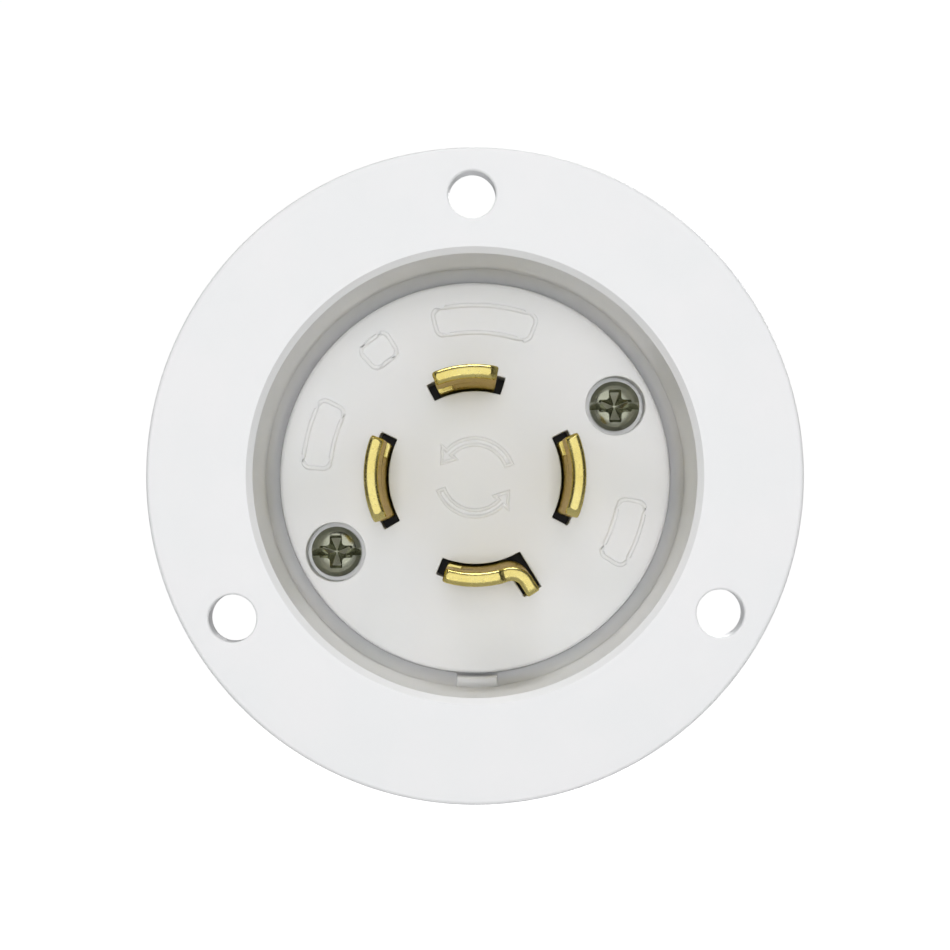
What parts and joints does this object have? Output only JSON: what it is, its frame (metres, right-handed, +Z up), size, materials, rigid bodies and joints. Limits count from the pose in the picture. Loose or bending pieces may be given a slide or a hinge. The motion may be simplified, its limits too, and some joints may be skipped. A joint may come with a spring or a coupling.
{
  "type": "flanged power inlet",
  "caption": "Round white flanged inlet with a recessed cup of curved locking blades, held to a panel by screws, with wire clamps behind.",
  "frame": {"origin": "on the inlet's axis at the flange's back face, which is the plane of the panel", "axes": "+Y along the inlet's axis, from the open face to the wire side; +Z up, through the top panel screw hole; +X to the right as seen from the open face"},
  "size_m": [0.0762, 0.0453, 0.0762],
  "materials": {
    "white_nylon": "smooth moulded white nylon, low satin sheen",
    "black_nylon": "moulded black glass-filled nylon, fine texture",
    "blade_brass": "stamped and tumbled brass strip",
    "screw_brass": "machined brass",
    "nickel_plate": "bright nickel plate over steel",
    "green_ground": "green dyed plate",
    "zinc_plate": "zinc plated steel"
  },
  "bodies": {
    "housing": {"flange_housing": "white_nylon", "face_plate": "white_nylon", "terminal_body": "black_nylon", "rear_cover": "black_nylon", "blade_hot_x": "blade_brass", "blade_hot_y": "blade_brass", "blade_neutral": "blade_brass", "blade_ground": "blade_brass", "assembly_screw_upper": "nickel_plate", "assembly_screw_lower": "nickel_plate", "assembly_nut_upper": "zinc_plate", "assembly_nut_lower": "zinc_plate"},
    "clamp_x": {"clamp_plate_x": "zinc_plate"},
    "screw_x": {"terminal_screw_x": "screw_brass"},
    "clamp_y": {"clamp_plate_y": "zinc_plate"},
    "screw_y": {"terminal_screw_y": "screw_brass"},
    "clamp_w": {"clamp_plate_w": "zinc_plate"},
    "screw_w": {"terminal_screw_w": "nickel_plate"},
    "clamp_g": {"clamp_plate_g": "zinc_plate"},
    "screw_g": {"terminal_screw_g": "green_ground"}
  },
  "joints": [
    {"name": "clamp_x_travel", "type": "slide", "parent": "housing", "child": "clamp_x", "axis": [-1, 0, 0], "range_m": [0, 0.003]},
    {"name": "screw_x_turn", "type": "hinge", "parent": "clamp_x", "child": "screw_x", "pos_m": [-0.0149, 0.03145, 0], "axis": [-1, 0, 0], "range_deg": [0, 1361]},
    {"name": "clamp_y_travel", "type": "slide", "parent": "housing", "child": "clamp_y", "axis": [1, 0, 0], "range_m": [0, 0.003]},
    {"name": "screw_y_turn", "type": "hinge", "parent": "clamp_y", "child": "screw_y", "pos_m": [0.0149, 0.03145, 0], "axis": [1, 0, 0], "range_deg": [0, 1361]},
    {"name": "clamp_w_travel", "type": "slide", "parent": "housing", "child": "clamp_w", "axis": [0, 0, 1], "range_m": [0, 0.003]},
    {"name": "screw_w_turn", "type": "hinge", "parent": "clamp_w", "child": "screw_w", "pos_m": [0, 0.03145, 0.0149], "axis": [0, 0, 1], "range_deg": [0, 1361]},
    {"name": "clamp_g_travel", "type": "slide", "parent": "housing", "child": "clamp_g", "axis": [0, 0, -1], "range_m": [0, 0.003]},
    {"name": "screw_g_turn", "type": "hinge", "parent": "clamp_g", "child": "screw_g", "pos_m": [0, 0.03145, -0.0149], "axis": [0, 0, -1], "range_deg": [0, 1361]}
  ],
  "couplings": [
    {"joint": "screw_x_turn", "follows": "clamp_x_travel", "rad_per_m": 7915.8},
    {"joint": "screw_y_turn", "follows": "clamp_y_travel", "rad_per_m": 7915.8},
    {"joint": "screw_w_turn", "follows": "clamp_w_travel", "rad_per_m": 7915.8},
    {"joint": "screw_g_turn", "follows": "clamp_g_travel", "rad_per_m": 7915.8}
  ]
}
